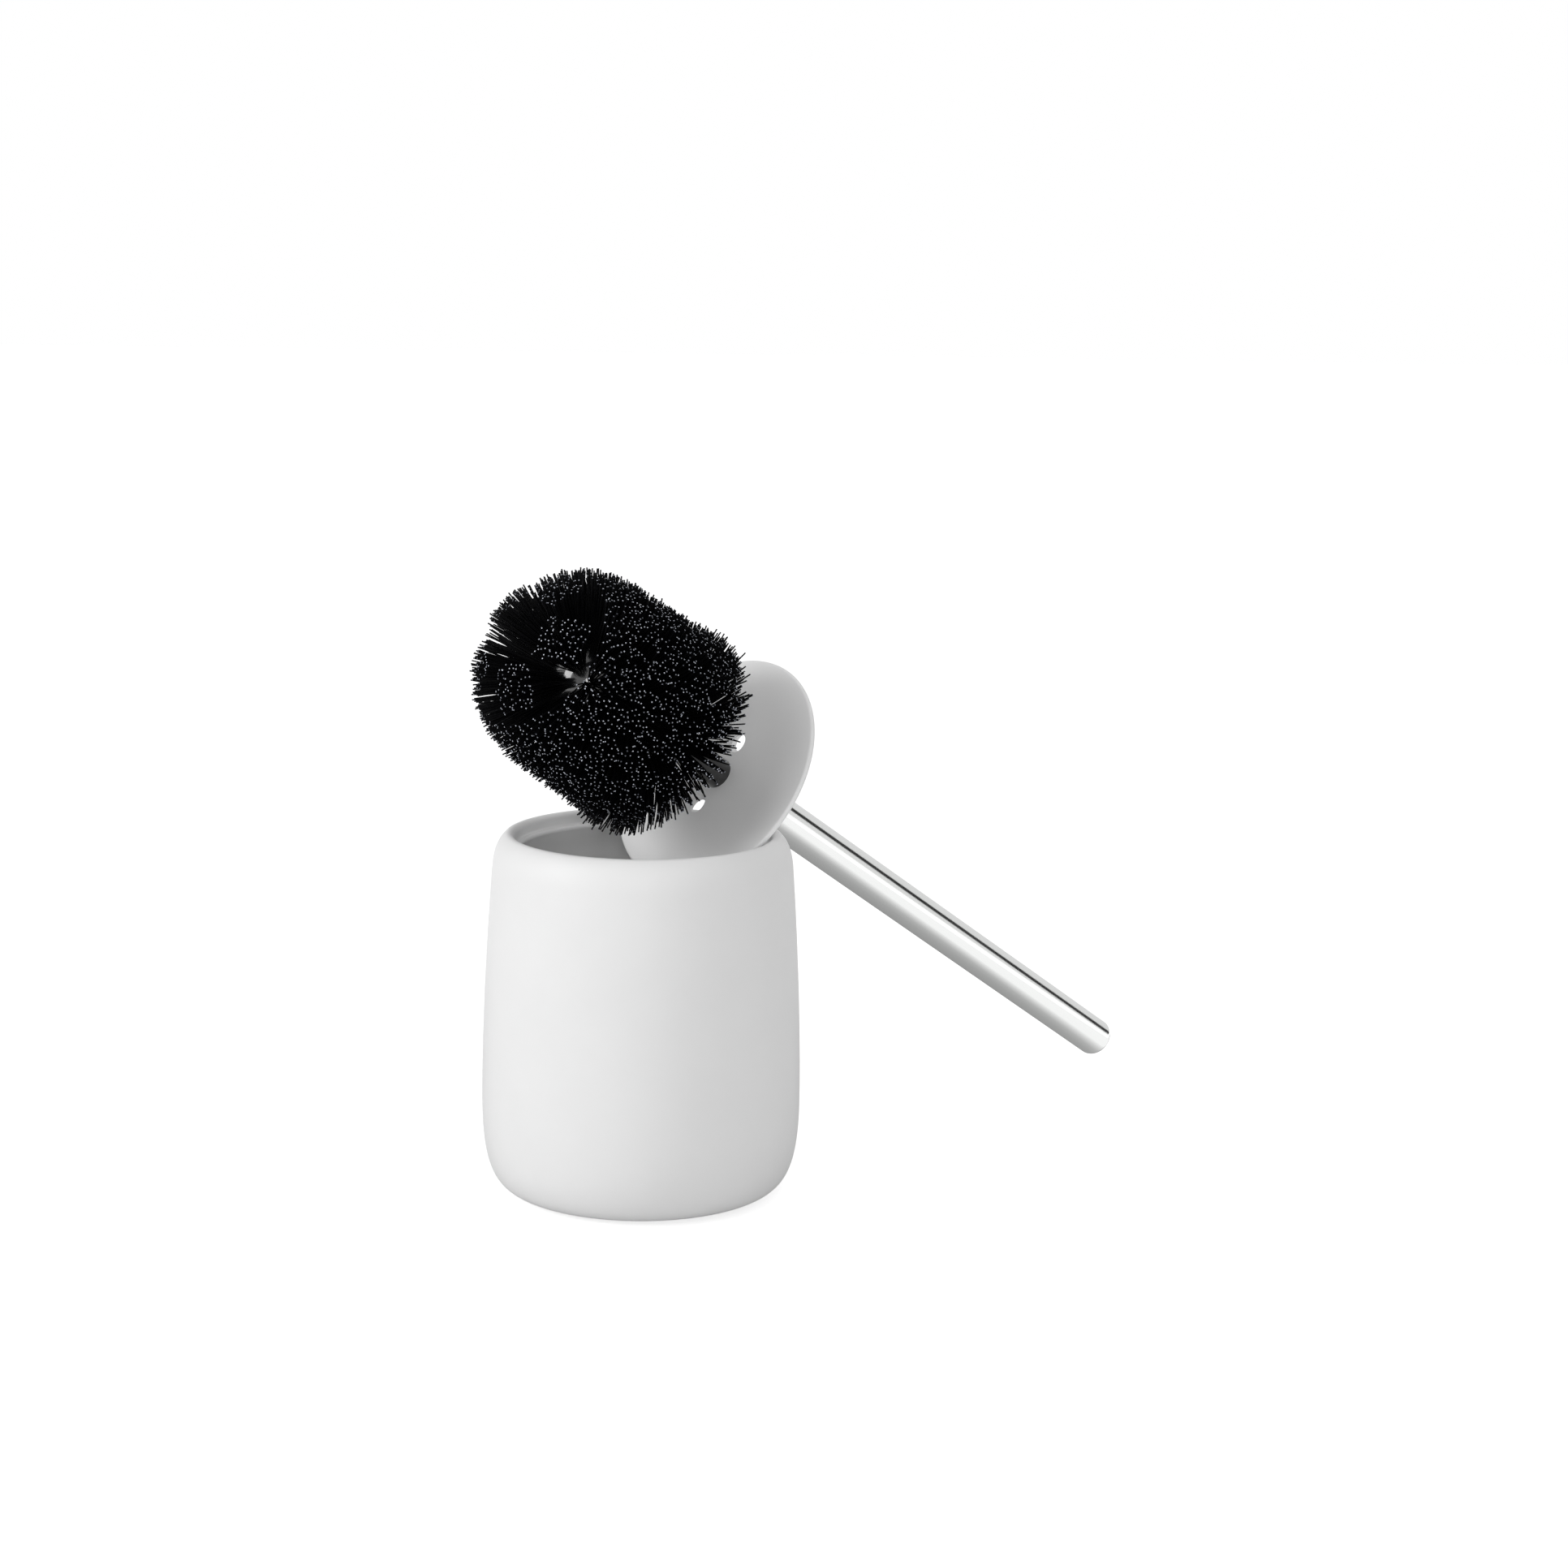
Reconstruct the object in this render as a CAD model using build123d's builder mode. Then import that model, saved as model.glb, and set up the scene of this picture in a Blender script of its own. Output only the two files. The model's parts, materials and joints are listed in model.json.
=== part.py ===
from build123d import *
import os
from math import cos, hypot, pi, radians, sin, tan

os.makedirs("parts", exist_ok=True)

# Holder: a ceramic pot, widest low down, that tapers to a rounded lip
holder_d = 120.0  # outside, at the belly
holder_h = 136.1  # foot to the crest of the lip
belly_z = 36.0  # height of the widest ring above the foot
foot_d = 87.8  # flat underside
foot_fullness = 0.74  # 0 is a straight slope, 1 is a sharp corner
wall_fullness = 0.6
shoulder_inset = 3.8  # from the belly in to the start of the shoulder
shoulder_drop = 12.0  # crest down to the start of the shoulder
shoulder_slope = 0.078  # inward per unit of height, where the shoulder starts
shoulder_fullness = 0.65
wall_t = 5.0
floor_t = 7.0

# Mouth: a round lip, a short upright gallery and a ledge that carries the lid
mouth_inset = 12.1  # from the belly in to the gallery
lip_r = 2.2
lip_turn = 40.0  # degrees that the lip's round runs down its outer side
seat_drop = 5.0  # crest down to the ledge
seat_corner_r = 0.8
seat_flat = 0.2
seat_nose_r = 1.1
seat_slope = 52.0  # degrees below level, under the ledge

# Soft pad in a recess under the foot
foot_ring = 8.1  # width of bare foot round the recess
pad_gap = 0.3
pad_t = 1.6
pad_proud = 0.6  # the pad stands this far below the foot
pad_edge_r = 0.4

# Handle: a tube with a rounded end cap, and a plug for the stud at its lower end
handle_d = 16.0
handle_wall = 1.0
handle_l = 266.0  # tube and cap together
cap_edge_r = 4.0
cap_crown = 0.6
cap_plug_l = 8.0
insert_l = 16.0
stud_d = 6.0
stud_short = 2.0  # the stud ends this far inside the plug's far face
stud_in_core = 14.5

# Lid
lid_gap = 0.9  # between the lid and the gallery, all round
lid_edge_t = 2.2
lid_dish = 3.0  # how far its underside is hollowed
lid_t = 2.0  # over the hollow
lid_hub_wall = 1.6  # boss under the lid, round its bore
lid_hub_foot = 2.0  # width of the curve from the boss to the hollow
lid_flange_w = 26.9  # width of the curve from the hollow to the edge
lid_crown_w = 33.9  # the same on top
drain_d = 6.2
drain_count = 2
drain_in = 31.5  # from the lid's round edge in to the hole
drain_splay = 36.0  # degrees that each hole leans outwards
drain_turn = 76.0  # degrees from level, about the brush's axis

# Brush head: a moulded core with rings of tufts, and a round tip
core_d = 27.0
core_neck_l = 24.0
core_cone_l = 6.0
core_straight_l = 44.0
spigot_wall = 1.95
spigot_short = 0.5  # the spigot stops this far below the handle
neck_step = 1.0  # shoulder that the lid's boss sits on
thread_runout = 2.5  # depth of hole beyond the stud

# Tufts
ring_count = 6
ring_start = 4.0  # first ring, from the start of the core's straight part
ring_end = 2.75  # last ring, from the end of the straight part
ring_tilt = 5.0  # degrees towards the tip
ring_tilt_step = 5.2  # more for each ring
ring_taper = 0.45  # each ring stands this much less than the one above it
ring_turn = 18.4
bristle_d = 82.4  # over the tips of the first ring
tip_slopes = (32.5, 60.0)  # rings on the round tip, degrees towards the tip
tip_turns = (-16.0, 3.0)
tip_reach = 38.8  # from the centre of the round tip
tuft_spacing = 5.3  # least pitch round a ring, at the bottom of the holes
tuft_sides = 8
tuft_root_r = 2.0
tuft_tip_r = 4.8
tuft_depth = 4.0  # in the core
tuft_stem = 1.6  # straight length above the core

# Fits
rest_gap = 0.3  # between the loose handle and the lip
lid_rest_gap = 0.9  # between the lid's edge and the mouth, where the brush stops
run_gap = 0.05  # radial, lid on spigot and stud in core

# The brush lies over the lip, with its handle outwards and down
lean = 32.3  # degrees below level
heading = 41.3  # degrees from +X, seen from above
edge_steps = 720  # places round the lid that are tested against the mouth
halvings = 50

# Radii and heights that follow
foot_z = pad_proud
crest_z = foot_z + holder_h
belly_r = holder_d / 2
foot_r = foot_d / 2
shoulder_r = belly_r - shoulder_inset
mouth_r = belly_r - mouth_inset
lip_centre_r = mouth_r + lip_r
lip_centre_z = crest_z - lip_r
seat_z = crest_z - seat_drop
nose_centre_r = mouth_r - seat_corner_r - seat_flat
nose_centre_z = seat_z - seat_nose_r
handle_r = handle_d / 2
lid_edge_r = lid_edge_t / 2
lid_rim_r = mouth_r - lid_gap - lid_edge_r
lid_top = lid_dish + lid_t
core_r = core_d / 2


def mouth_gap(reach):
    """Least space between the lid's round edge and the mouth, with the lid this far from the lip."""
    centre_r = touch_r - reach * cos(radians(lean))
    centre_z = touch_z + reach * sin(radians(lean))
    spaces = []
    for step in range(edge_steps):
        angle = 2 * pi * step / edge_steps
        outward = centre_r + lid_rim_r * sin(angle) * sin(radians(lean))
        z = centre_z + lid_rim_r * sin(angle) * cos(radians(lean))
        radius = hypot(outward, lid_rim_r * cos(angle))
        lip_space = hypot(radius - lip_centre_r, z - lip_centre_z) - lip_r
        nose_space = hypot(radius - nose_centre_r, z - nose_centre_z) - seat_nose_r
        gallery_space = mouth_r - radius if seat_z < z < lip_centre_z else lip_space
        spaces.append(min(lip_space, nose_space, gallery_space) - lid_edge_r)
    return min(spaces)


# The handle's axis where it passes over the lip, as radius and height
axis_rise = lip_r + rest_gap + handle_r
touch_r = lip_centre_r + axis_rise * sin(radians(lean))
touch_z = lip_centre_z + axis_rise * cos(radians(lean))

# The brush slides down over the lip until the lid's edge stops in the mouth
near = 0.0
far = mouth_r
for halving in range(halvings):
    reach = (near + far) / 2
    if mouth_gap(reach) > lid_rest_gap:
        far = reach
    else:
        near = reach

# Brush frame: its origin is the middle of the lid's lower rim, and its axis runs up the handle
outward_dir = Vector(cos(radians(heading)), sin(radians(heading)), 0)
side_dir = Vector(sin(radians(heading)), -cos(radians(heading)), 0)
axis_dir = outward_dir * cos(radians(lean)) - Vector(0, 0, sin(radians(lean)))
touch_point = outward_dir * touch_r + Vector(0, 0, touch_z)
brush_origin = touch_point - axis_dir * (reach + lid_edge_r)
brush_axis = Axis(brush_origin, axis_dir)
brush_section = Plane(brush_origin, x_dir=side_dir, z_dir=side_dir.cross(axis_dir))
handle_plane = Plane(brush_origin + axis_dir * lid_top, x_dir=side_dir, z_dir=axis_dir)
head_plane = Plane(brush_origin, x_dir=side_dir, z_dir=-axis_dir)


def blend(start, start_dir, end, end_dir, fullness):
    """Control points of a curve that leaves and arrives in the given directions."""
    start, start_dir, end, end_dir = Vector(*start), Vector(*start_dir), Vector(*end), Vector(*end_dir)
    to_corner = (end - start).cross(end_dir).Z / start_dir.cross(end_dir).Z
    corner = start + start_dir * to_corner
    return start, start + (corner - start) * fullness, end + (corner - end) * fullness, end


# Holder
outward, inward, upward, downward = (1, 0), (-1, 0), (0, 1), (0, -1)
up_shoulder = (-shoulder_slope, 1)
down_shoulder = (shoulder_slope, -1)
up_lip = (-cos(radians(lip_turn)), sin(radians(lip_turn)))
belly = (belly_r, foot_z + belly_z)
shoulder = (shoulder_r, crest_z - shoulder_drop)
inner_belly = (belly_r - wall_t, foot_z + belly_z)
inner_floor = (foot_r - wall_t, foot_z + floor_t)
recess_r = foot_r - foot_ring

with BuildPart() as holder:
    with BuildSketch(Plane.XZ):
        with BuildLine():
            lip = CenterArc((lip_centre_r, lip_centre_z), lip_r, 90 - lip_turn, 90 + lip_turn)
            gallery = Line(lip @ 1, (mouth_r, seat_z + seat_corner_r))
            corner = RadiusArc(gallery @ 1, (mouth_r - seat_corner_r, seat_z), seat_corner_r)
            ledge = Line(corner @ 1, (nose_centre_r, seat_z))
            nose = CenterArc((nose_centre_r, nose_centre_z), seat_nose_r, 90, 180 - seat_slope)
            under_w = shoulder_r - wall_t - (nose @ 1).X
            inner_shoulder = nose @ 1 + Vector(under_w, -under_w * tan(radians(seat_slope)))
            Line(nose @ 1, inner_shoulder)
            Bezier(*blend(inner_shoulder, down_shoulder, inner_belly, downward, wall_fullness))
            Bezier(*blend(inner_belly, downward, inner_floor, inward, foot_fullness))
            Polyline(
                inner_floor,
                (0, foot_z + floor_t),
                (0, pad_t),
                (recess_r, pad_t),
                (recess_r, foot_z),
                (foot_r, foot_z),
            )
            Bezier(*blend((foot_r, foot_z), outward, belly, upward, foot_fullness))
            Bezier(*blend(belly, upward, shoulder, up_shoulder, wall_fullness))
            Bezier(*blend(shoulder, up_shoulder, lip @ 0, up_lip, shoulder_fullness))
        make_face()
    revolve(axis=Axis.Z)
holder.part.label = "holder"
export_step(holder.part, "parts/holder.step")

with BuildPart() as base_pad:
    with BuildSketch():
        Circle(recess_r - pad_gap)
    extrude(amount=pad_t)
    fillet(base_pad.edges().group_by(Axis.Z)[0], radius=pad_edge_r)
base_pad.part.label = "base_pad"
export_step(base_pad.part, "parts/base_pad.step")

# Handle
bore_r = handle_r - handle_wall
stud_r = stud_d / 2
tube_l = handle_l - cap_edge_r - cap_crown
cap_seat = lid_top + tube_l
cap_top = lid_top + handle_l

with BuildPart() as handle_tube:
    with BuildSketch(handle_plane):
        Circle(handle_r)
        Circle(bore_r, mode=Mode.SUBTRACT)
    extrude(amount=tube_l)
handle_tube.part.label = "handle_tube"
export_step(handle_tube.part, "parts/handle_tube.step")

with BuildPart() as handle_cap:
    with BuildSketch(brush_section):
        with BuildLine():
            cap_edge = CenterArc((handle_r - cap_edge_r, cap_seat), cap_edge_r, 0, 90)
            crown = Spline(cap_edge @ 1, (0, cap_top), tangents=(inward, inward))
            Polyline(
                crown @ 1,
                (0, cap_seat - cap_plug_l),
                (bore_r, cap_seat - cap_plug_l),
                (bore_r, cap_seat),
                cap_edge @ 0,
            )
        make_face()
    revolve(axis=brush_axis)
handle_cap.part.label = "handle_cap"
export_step(handle_cap.part, "parts/handle_cap.step")

with BuildPart() as thread_insert:
    with BuildSketch(handle_plane):
        Circle(bore_r)
        Circle(stud_r, mode=Mode.SUBTRACT)
    extrude(amount=insert_l)
thread_insert.part.label = "thread_insert"
export_step(thread_insert.part, "parts/thread_insert.step")

with BuildPart() as head_stud:
    with BuildSketch(handle_plane.offset(-spigot_short - stud_in_core)):
        Circle(stud_r)
    extrude(amount=spigot_short + stud_in_core + insert_l - stud_short)
head_stud.part.label = "head_stud"
export_step(head_stud.part, "parts/head_stud.step")

# Lid
thread_r = stud_r + run_gap
spigot_r = thread_r + spigot_wall
lid_bore_r = spigot_r + run_gap
hub_r = lid_bore_r + lid_hub_wall

with BuildPart() as lid:
    with BuildSketch(brush_section):
        with BuildLine():
            hub = Line((lid_bore_r, 0), (hub_r, 0))
            hub_foot = Spline(hub @ 1, (hub_r + lid_hub_foot, lid_dish), tangents=(upward, outward))
            hollow = Line(hub_foot @ 1, (lid_rim_r - lid_flange_w, lid_dish))
            flange = Spline(hollow @ 1, (lid_rim_r, 0), tangents=(outward, outward))
            edge = CenterArc((lid_rim_r, lid_edge_r), lid_edge_r, -90, 180)
            top = Spline(edge @ 1, (lid_rim_r - lid_crown_w, lid_top), tangents=(inward, inward))
            Polyline(top @ 1, (lid_bore_r, lid_top), hub @ 0)
        make_face()
    revolve(axis=brush_axis)
    for drain in range(drain_count):
        turned = head_plane.rotated((0, 0, drain_turn + drain * 360 / drain_count))
        drain_out = turned.x_dir
        drain_dir = axis_dir * cos(radians(drain_splay)) + drain_out * sin(radians(drain_splay))
        drain_mid = brush_origin + drain_out * (lid_rim_r - drain_in) + axis_dir * (lid_dish + lid_t / 2)
        with BuildSketch(Plane(drain_mid, z_dir=drain_dir)):
            Circle(drain_d / 2)
        extrude(amount=drain_d, both=True, mode=Mode.SUBTRACT)
lid.part.label = "lid"
export_step(lid.part, "parts/lid.step")

# Brush head: depths run along its axis, from the lid's lower rim to the tip
straight_start = core_neck_l + core_cone_l
tip_centre = straight_start + core_straight_l
first_ring = straight_start + ring_start
ring_pitch = (core_straight_l - ring_start - ring_end) / (ring_count - 1)


def tuft_ring(root_depth, root_r, slope, length, turn, half_pitches=0):
    """A ring of flared tufts, each starting at the bottom of its hole in the core."""
    along = sin(radians(slope))
    across = cos(radians(slope))
    bottom_r = root_r - tuft_depth * across
    bottom = Plane((bottom_r, 0, root_depth - tuft_depth * along), x_dir=(0, 1, 0), z_dir=(across, 0, along))
    count = int(2 * pi * bottom_r / tuft_spacing)
    with BuildPart() as tuft:
        with BuildSketch(bottom):
            RegularPolygon(tuft_root_r, tuft_sides)
        extrude(amount=tuft_depth + tuft_stem)
        with BuildSketch(bottom.offset(tuft_depth + tuft_stem)):
            RegularPolygon(tuft_root_r, tuft_sides)
        with BuildSketch(bottom.offset(tuft_depth + length)):
            RegularPolygon(tuft_tip_r, tuft_sides)
        loft()
    with BuildPart(head_plane) as ring:
        with PolarLocations(0, count, start_angle=turn + half_pitches * 180 / count):
            add(tuft.part)
    return ring.part


tufts = []
for number in range(ring_count):
    ring_depth = first_ring + number * ring_pitch
    tilt = ring_tilt + number * ring_tilt_step
    rise = bristle_d / 2 - number * ring_taper - core_r
    tufts.append(tuft_ring(ring_depth, core_r, tilt, rise / cos(radians(tilt)), ring_turn, number))
for slope, turn in zip(tip_slopes, tip_turns):
    tip_root_depth = tip_centre + core_r * sin(radians(slope))
    tip_root_r = core_r * cos(radians(slope))
    tufts.append(tuft_ring(tip_root_depth, tip_root_r, slope, tip_reach - core_r, turn))
for number, ring in enumerate(tufts, 1):
    ring.label = f"tuft_ring_{number}"
    export_step(ring, f"parts/tuft_ring_{number}.step")

spigot_top = lid_top - spigot_short
neck_r = spigot_r + neck_step
thread_end = spigot_top - stud_in_core - thread_runout

with BuildPart() as brush_core:
    with BuildSketch(brush_section):
        with BuildLine():
            tip = CenterArc((0, -tip_centre), core_r, 0, -90)
            Polyline(
                tip @ 1,
                (0, thread_end),
                (thread_r, thread_end),
                (thread_r, spigot_top),
                (spigot_r, spigot_top),
                (spigot_r, 0),
                (neck_r, 0),
                (neck_r, -core_neck_l),
                (core_r, -straight_start),
                tip @ 0,
            )
        make_face()
    revolve(axis=brush_axis)
    for ring in tufts:
        add(ring, mode=Mode.SUBTRACT)
brush_core.part.label = "brush_core"
export_step(brush_core.part, "parts/brush_core.step")
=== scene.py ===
import json
import math
import random
from collections import namedtuple

import bpy
from bpy.props import FloatProperty, FloatVectorProperty, IntProperty, PointerProperty
from mathutils import Matrix, Vector


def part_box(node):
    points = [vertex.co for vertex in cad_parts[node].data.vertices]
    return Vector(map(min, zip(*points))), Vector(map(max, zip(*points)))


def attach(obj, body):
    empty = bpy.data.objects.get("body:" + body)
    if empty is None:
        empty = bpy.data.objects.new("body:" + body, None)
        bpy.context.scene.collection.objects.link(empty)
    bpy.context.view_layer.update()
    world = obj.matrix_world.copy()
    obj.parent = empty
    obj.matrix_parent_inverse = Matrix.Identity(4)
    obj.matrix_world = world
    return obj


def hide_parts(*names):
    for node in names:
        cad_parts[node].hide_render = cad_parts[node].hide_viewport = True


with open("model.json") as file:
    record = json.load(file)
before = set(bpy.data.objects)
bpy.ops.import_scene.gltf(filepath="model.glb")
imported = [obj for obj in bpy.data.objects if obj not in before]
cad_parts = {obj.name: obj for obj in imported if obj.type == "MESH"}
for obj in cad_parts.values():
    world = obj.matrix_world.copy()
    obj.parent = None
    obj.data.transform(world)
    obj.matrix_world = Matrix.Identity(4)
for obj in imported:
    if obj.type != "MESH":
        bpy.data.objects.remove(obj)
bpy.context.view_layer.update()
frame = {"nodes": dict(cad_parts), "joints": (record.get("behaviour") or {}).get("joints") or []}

bl_info = {
    "name": "Toilet Brush Set",
    "version": (1, 0, 0),
    "blender": (4, 5, 0),
    "location": "3D View > Sidebar > Brush Set",
    "description": "Models the pot, lid, handle and bristles of a toilet brush set around its construction",
    "category": "Add Mesh",
}

MM = 0.001
MERGE_DISTANCE = 1e-3 * MM
SMOOTH_ANGLE = math.radians(38)
BRISTLE_SMOOTH_ANGLE = SMOOTH_ANGLE + math.radians(40)

# Shapes that a user has no need to change
DRILL_SIDES = 48
DRILL_LENGTH = 8
THREAD_SLACK = 0.05 * MM
THREAD_STEPS = 32
THREAD_DEPTH = 0.6
THREAD_CREST = (0.4, 0.6)
BRISTLE_SIDES = 5
BRISTLE_CUTS = (1 / 3, 2 / 3)
TRIM_HALVINGS = 24

# Two steps that never fall in line spread the bristles evenly over a square tuft
EVEN_STEPS = (0.7548777, 0.5698403)
EVEN_JITTER = 0.05

# Sockets of the Mix node for two colours, which share their names with others
MIX_FIRST = 6
MIX_SECOND = 7
MIX_RESULT = 2

# The stage: strengths, and sizes in metres
IMAGE_PX = 1932
WHITE = (1, 1, 1, 1)
SKY_STRENGTH = 0.465
FLOOR_GLOW = 0.66
FLOOR_SIDE = 12
CARD_LENGTH = 3.2
FLOOR_CARD_LENGTH = 0.4
FLOOR_CARD_WIDTH = 0.8
FLOOR_CARD_SHIFT = 0.15
FLOOR_CARD_HEIGHT = 0.5 * MM

# Cards beside the handle: name, middle and half width in degrees round the handle, grey
HANDLE_CARDS = (
    ("flag", 77.5, 10.5, "#080808"),
    ("soft_card", 56, 13, "#DEDEDE"),
    ("grey_card", 123, 35, "#DCDCDC"),
)

# Greys of the card on the floor, by degrees from the handle's line: a painted reflection of the shade on the
# floor under the handle, rising to white for the handle's broad highlight
FLOOR_CARD_GREYS = (
    (-60, "#949494"),
    (-20, "#9E9E9E"),
    (-2, "#A6A6A6"),
    (12, "#B6B6B6"),
    (26, "#DBDBDB"),
    (42, "#FFFFFF"),
)

Tuft = namedtuple("Tuft", "root way bristles across along uneven cling")

# The brush's frame: its origin is the middle of the lid's lower rim, and Z runs up the handle
joints = {joint["name"]: joint for joint in frame["joints"]}
brush_origin = Vector(joints["head_unscrew"]["pos_m"])
handle_dir = -Vector(joints["head_unscrew"]["axis"]).normalized()
side_dir = handle_dir.cross(Vector((0, 0, 1))).normalized()
brush_turn = Matrix((side_dir, handle_dir.cross(side_dir), handle_dir)).transposed()
brush_place = Matrix.Translation(brush_origin) @ brush_turn.to_4x4()
pot_low, pot_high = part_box("holder")


def length(name, description, millimetres):
    """A size that a user would change, given in millimetres."""
    return FloatProperty(name=name, description=description, default=millimetres * MM, unit="LENGTH")


def angle(name, description, degrees):
    """An angle that a user would change, given in degrees."""
    return FloatProperty(name=name, description=description, default=math.radians(degrees), subtype="ANGLE")


def share(name, description, value):
    """A plain share between 0 and 1."""
    return FloatProperty(name=name, description=description, default=value, min=0, max=1, subtype="FACTOR")


def linear(hex_colour):
    """Linear colour of an sRGB hex value."""
    parts = [int(hex_colour[place:place + 2], 16) / 255 for place in (1, 3, 5)]
    return [part / 12.92 if part <= 0.04045 else ((part + 0.055) / 1.055) ** 2.4 for part in parts] + [1.0]


def colour(name, description, hex_colour):
    """A colour that a user would change, given as an sRGB hex value."""
    return FloatVectorProperty(
        name=name, description=description, default=linear(hex_colour), size=4, min=0, max=1, subtype="COLOR"
    )


class PotSizes(bpy.types.PropertyGroup):
    """Sizes of the ceramic pot."""

    belly_height: length("Belly Height", "Height of the widest ring above the foot", 36.0)
    foot_radius: length("Foot Radius", "Radius of the flat underside", 43.9)
    foot_fullness: share("Foot Fullness", "How square the foot's curve is", 0.74)
    wall_fullness: share("Wall Fullness", "How full the tapering wall is", 0.6)
    shoulder_inset: length("Shoulder Inset", "From the belly in to the start of the shoulder", 3.8)
    shoulder_drop: length("Shoulder Drop", "From the lip down to the start of the shoulder", 12.0)
    shoulder_slope: FloatProperty(
        name="Shoulder Slope", description="How far inward for each unit of height", default=0.078
    )
    shoulder_fullness: share("Shoulder Fullness", "How square the shoulder is", 0.65)
    wall: length("Wall", "Thickness of the wall", 5.0)
    floor: length("Floor", "Thickness of the floor", 7.0)
    mouth_inset: length("Mouth Inset", "From the belly in to the mouth", 12.1)
    lip_radius: length("Lip Radius", "Radius of the rounded lip", 2.2)
    lip_turn: angle("Lip Turn", "How far the lip's round runs down its outer side", 40.0)
    seat_drop: length("Seat Drop", "From the lip down to the lid's ledge", 5.0)
    seat_corner: length("Seat Corner", "Radius at the back of the ledge", 0.8)
    seat_flat: length("Seat Flat", "Width of the ledge's level part", 0.2)
    seat_nose: length("Seat Nose", "Radius of the ledge's front", 1.1)
    seat_slope: angle("Seat Slope", "Slope under the ledge", 52.0)
    foot_ring: length("Foot Ring", "Width of bare foot round the pad's recess", 8.1)
    recess: length("Recess", "Depth of the pad's recess", 1.0)
    turns: IntProperty(name="Segments", description="Faces round the pot", default=256)


class BrushSizes(bpy.types.PropertyGroup):
    """Sizes of the handle, the lid and the core."""

    handle_radius: length("Handle Radius", "Outer radius of the tube", 8.0)
    handle_wall: length("Handle Wall", "Thickness of the tube", 1.0)
    handle_length: length("Handle Length", "Tube and cap together", 266.0)
    cap_edge: length("Cap Edge", "Rounding of the handle's end", 4.0)
    cap_crown: length("Cap Crown", "Height of the end's dome", 0.6)
    cap_plug: length("Cap Plug", "Length of cap inside the tube", 8.0)
    lid_rim: length("Lid Rim", "Radius to the middle of the lid's round edge", 45.9)
    lid_edge: length("Lid Edge", "Radius of the lid's round edge", 1.1)
    lid_dish: length("Lid Dish", "Depth of the hollow underside", 3.0)
    lid_thickness: length("Lid Thickness", "Thickness over the hollow", 2.0)
    lid_seat_gap: length("Lid Seat Gap", "Clearance between the lid and the handle or neck", 0.02)
    lid_bore: length("Lid Bore", "Radius of the bore", 5.05)
    lid_flange: length("Flange", "Width of the curve from hollow to edge", 26.9)
    lid_crown: length("Crown", "Width of the curve on top", 33.9)
    drain_radius: length("Drain Radius", "Radius of a drain hole", 3.1)
    drain_place: length("Drain Place", "Distance of a drain hole from the axis", 14.4)
    drain_turn: angle("Drain Turn", "Place of the drain holes round the lid", 76.0)
    drain_splay: angle("Drain Splay", "Lean of the drain holes", 36.0)
    core_radius: length("Core Radius", "Radius of the core's straight part", 13.5)
    core_start: length("Core Start", "Lid to the core's straight part", 30.0)
    core_neck: length("Core Neck", "Lid to the lower end of the neck", 24.0)
    core_neck_radius: length("Neck Radius", "Radius of the neck", 6.0)
    core_end: length("Core End", "Lid to the centre of the round tip", 74.0)
    spigot_radius: length("Spigot Radius", "Radius of the part inside the lid", 5.0)
    spigot_short: length("Spigot Short", "Gap under the handle", 0.5)
    thread_radius: length("Thread Radius", "Radius of the thread", 3.0)
    thread_pitch: length("Thread Pitch", "Pitch of the thread", 1.0)
    thread_depth: length("Thread Depth", "Depth of the thread's hole", 17.0)
    turns: IntProperty(name="Segments", description="Faces round each piece", default=128)


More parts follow.
